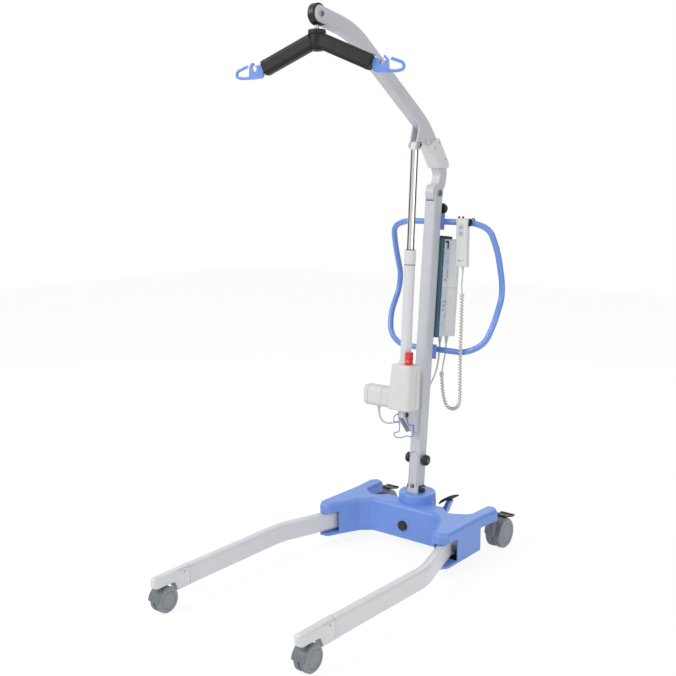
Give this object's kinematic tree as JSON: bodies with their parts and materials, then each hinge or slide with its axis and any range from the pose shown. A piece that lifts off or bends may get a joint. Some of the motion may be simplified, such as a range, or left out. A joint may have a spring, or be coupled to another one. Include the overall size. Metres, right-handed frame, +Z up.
{
  "type": "patient lift",
  "caption": "mobile patient lift with spreading castored legs, leaning mast, electric actuator, bent boom and swivelling two-hook spreader bar",
  "frame": {"origin": "on the floor, under the middle of the box that holds the lift without its leads", "axes": "+Z up and longest, -Y forward along the legs, +X the lift's right side"},
  "size_m": [0.5886, 1.1319, 1.687],
  "materials": {
    "frame_grey": "satin powder coat",
    "cover_blue": "satin moulded",
    "rail_blue": "gloss powder coat",
    "leg_white": "satin powder coat",
    "cap_white": "satin moulded",
    "shell_white": "satin moulded",
    "castor_grey": "satin moulded",
    "fork_grey": "satin moulded",
    "black_plastic": "satin moulded",
    "black_pad": "matt",
    "bright_chrome": "polished",
    "plain_steel": "brushed",
    "deep_teal": "satin moulded",
    "red_plastic": "gloss",
    "cord_grey": "matt",
    "key_grey": "matt"
  },
  "bodies": {
    "base": {"base_frame": "plain_steel", "base_cover": "cover_blue", "pivot_bolts": "plain_steel", "mast_foot": "frame_grey", "foot_latches": "black_plastic", "mast": "frame_grey", "push_handle": "rail_blue", "box_mount": "deep_teal", "control_box": "shell_white", "battery_pack": "shell_white", "handset_shell": "shell_white", "handset_hook": "black_plastic", "handset_cord": "cord_grey", "motor_lead": "cord_grey", "cord_plugs": "black_plastic", "actuator_bracket": "frame_grey", "carry_hook": "rail_blue"},
    "pedal": {"pedal_shaft": "plain_steel", "foot_pedal": "rail_blue", "pedal_treads": "black_pad"},
    "actuator": {"actuator_housing": "shell_white", "motor_cover": "shell_white", "actuator_tube": "leg_white"},
    "screw": {"lead_screw": "plain_steel"},
    "release": {"release_handle": "red_plastic"},
    "ram": {"actuator_rod": "bright_chrome", "rod_eye": "cap_white"},
    "boom": {"boom_tube": "frame_grey", "boom_neck": "frame_grey", "boom_sleeve": "shell_white", "boom_bolts": "plain_steel"},
    "drum": {"hanger_drum": "black_plastic", "hanger_stud": "plain_steel"},
    "spreader": {"spreader_bar": "black_pad", "hook_left": "rail_blue", "hook_right": "rail_blue"},
    "lock_knob": {"boom_lock_knob": "black_plastic"},
    "stop": {"stop_button": "red_plastic"},
    "up_key": {"handset_up_button": "key_grey"},
    "down_key": {"handset_down_button": "key_grey"},
    "leg_left": {"leg_left": "leg_white", "leg_cap_left": "cap_white"},
    "tie_left": {"tie_rod_left": "plain_steel"},
    "knob_left": {"mast_knob_left": "black_plastic"},
    "latch_left": {"latch_left": "plain_steel"},
    "fork_front_left": {"fork_front_left": "fork_grey"},
    "fork_rear_left": {"fork_rear_left": "fork_grey"},
    "wheels_front_left": {"wheels_front_left": "castor_grey"},
    "wheels_rear_left": {"wheels_rear_left": "castor_grey"},
    "brake_left": {"brake_left": "black_plastic"},
    "leg_right": {"leg_right": "leg_white", "leg_cap_right": "cap_white"},
    "tie_right": {"tie_rod_right": "plain_steel"},
    "knob_right": {"mast_knob_right": "black_plastic"},
    "latch_right": {"latch_right": "plain_steel"},
    "fork_front_right": {"fork_front_right": "fork_grey"},
    "fork_rear_right": {"fork_rear_right": "fork_grey"},
    "wheels_front_right": {"wheels_front_right": "castor_grey"},
    "wheels_rear_right": {"wheels_rear_right": "castor_grey"},
    "brake_right": {"brake_right": "black_plastic"}
  },
  "joints": [
    {"name": "boom_lift", "type": "hinge", "parent": "base", "child": "boom", "pos_m": [0, 0.4445, 1.1758], "axis": [1, 0, 0], "range_deg": [0, 68]},
    {"name": "actuator_tilt", "type": "hinge", "parent": "base", "child": "actuator", "pos_m": [0, 0.2802, 0.4627], "axis": [1, 0, 0], "range_deg": [0, 4.8]},
    {"name": "rod_slide", "type": "slide", "parent": "actuator", "child": "ram", "axis": [0, 0.0553, 0.9985], "range_m": [-0.20321, 0]},
    {"name": "screw_turn", "type": "hinge", "parent": "actuator", "child": "screw", "pos_m": [0, 0.2802, 0.4627], "axis": [0, 0.0553, 0.9985], "continuous": true},
    {"name": "release_lift", "type": "slide", "parent": "actuator", "child": "release", "axis": [0, 0.0553, 0.9985], "range_m": [0, 0.008], "stiffness_N_per_m": 600},
    {"name": "hanger_swing", "type": "hinge", "parent": "boom", "child": "drum", "pos_m": [0, -0.153, 1.658], "axis": [1, 0, 0], "range_deg": [-80, 0]},
    {"name": "spreader_swivel", "type": "hinge", "parent": "drum", "child": "spreader", "pos_m": [0, -0.153, 1.6], "axis": [0, 0, 1], "continuous": true},
    {"name": "pedal_rock", "type": "hinge", "parent": "base", "child": "pedal", "pos_m": [0, 0.458, 0.082], "axis": [0, 1, 0], "range_deg": [0, 26]},
    {"name": "leg_open_left", "type": "hinge", "parent": "base", "child": "leg_left", "pos_m": [-0.1926, 0.29, 0.082], "axis": [0, 0, 1], "range_deg": [-12.5, 0]},
    {"name": "tie_slide_left", "type": "slide", "parent": "base", "child": "tie_left", "axis": [1, 0, 0], "range_m": [0, 0.0062]},
    {"name": "knob_turn_left", "type": "hinge", "parent": "base", "child": "knob_left", "pos_m": [0, 0.3693, 0.29344], "axis": [1, 0, 0], "continuous": true},
    {"name": "latch_left", "type": "hinge", "parent": "spreader", "child": "latch_left", "pos_m": [-0.17562, -0.19679, 1.528], "axis": [0.2419, -0.9703, 0], "range_deg": [0, 25], "stiffness_Nm_per_rad": 0.02},
    {"name": "front_swivel_left", "type": "hinge", "parent": "leg_left", "child": "fork_front_left", "pos_m": [-0.26914, -0.53989, 0.08], "axis": [0, 0, 1], "continuous": true},
    {"name": "front_roll_left", "type": "hinge", "parent": "fork_front_left", "child": "wheels_front_left", "pos_m": [-0.26914, -0.51989, 0.0375], "axis": [1, 0, 0], "continuous": true},
    {"name": "rear_swivel_left", "type": "hinge", "parent": "base", "child": "fork_rear_left", "pos_m": [-0.238, 0.465, 0.11], "axis": [0, 0, 1], "continuous": true},
    {"name": "rear_roll_left", "type": "hinge", "parent": "fork_rear_left", "child": "wheels_rear_left", "pos_m": [-0.238, 0.513, 0.05], "axis": [1, 0, 0], "continuous": true},
    {"name": "brake_press_left", "type": "hinge", "parent": "fork_rear_left", "child": "brake_left", "pos_m": [-0.238, 0.525, 0.104], "axis": [1, 0, 0], "range_deg": [-6, 0]},
    {"name": "leg_open_right", "type": "hinge", "parent": "base", "child": "leg_right", "pos_m": [0.1926, 0.29, 0.082], "axis": [0, 0, 1], "range_deg": [0, 12.5]},
    {"name": "tie_slide_right", "type": "slide", "parent": "base", "child": "tie_right", "axis": [1, 0, 0], "range_m": [-0.0062, 0]},
    {"name": "knob_turn_right", "type": "hinge", "parent": "base", "child": "knob_right", "pos_m": [0, 0.3693, 0.29344], "axis": [1, 0, 0], "continuous": true},
    {"name": "latch_right", "type": "hinge", "parent": "spreader", "child": "latch_right", "pos_m": [0.17562, -0.10921, 1.528], "axis": [-0.2419, 0.9703, 0], "range_deg": [0, 25], "stiffness_Nm_per_rad": 0.02},
    {"name": "front_swivel_right", "type": "hinge", "parent": "leg_right", "child": "fork_front_right", "pos_m": [0.26914, -0.53989, 0.08], "axis": [0, 0, 1], "continuous": true},
    {"name": "front_roll_right", "type": "hinge", "parent": "fork_front_right", "child": "wheels_front_right", "pos_m": [0.26914, -0.51989, 0.0375], "axis": [1, 0, 0], "continuous": true},
    {"name": "rear_swivel_right", "type": "hinge", "parent": "base", "child": "fork_rear_right", "pos_m": [0.238, 0.465, 0.11], "axis": [0, 0, 1], "continuous": true},
    {"name": "rear_roll_right", "type": "hinge", "parent": "fork_rear_right", "child": "wheels_rear_right", "pos_m": [0.238, 0.513, 0.05], "axis": [1, 0, 0], "continuous": true},
    {"name": "brake_press_right", "type": "hinge", "parent": "fork_rear_right", "child": "brake_right", "pos_m": [0.238, 0.525, 0.104], "axis": [1, 0, 0], "range_deg": [-6, 0]},
    {"name": "lock_knob_turn", "type": "hinge", "parent": "base", "child": "lock_knob", "pos_m": [0, 0.46291, 1.127], "axis": [0, 0.9964, -0.0849], "continuous": true},
    {"name": "stop_press", "type": "slide", "parent": "base", "child": "stop", "axis": [0, 0.9964, -0.0849], "range_m": [-0.003, 0], "stiffness_N_per_m": 900},
    {"name": "up_press", "type": "slide", "parent": "base", "child": "up_key", "axis": [0, 1, 0], "range_m": [0, 0.0012], "stiffness_N_per_m": 500},
    {"name": "down_press", "type": "slide", "parent": "base", "child": "down_key", "axis": [0, 1, 0], "range_m": [0, 0.0012], "stiffness_N_per_m": 500}
  ],
  "couplings": [
    {"joint": "actuator_tilt", "follows": "boom_lift", "ratio": 0.070302},
    {"joint": "rod_slide", "follows": "boom_lift", "m_per_rad": -0.17105},
    {"joint": "leg_open_right", "follows": "pedal_rock", "ratio": 0.48077},
    {"joint": "leg_open_left", "follows": "pedal_rock", "ratio": -0.48077},
    {"joint": "tie_slide_right", "follows": "pedal_rock", "m_per_rad": -0.013435},
    {"joint": "tie_slide_left", "follows": "pedal_rock", "m_per_rad": 0.013435}
  ]
}
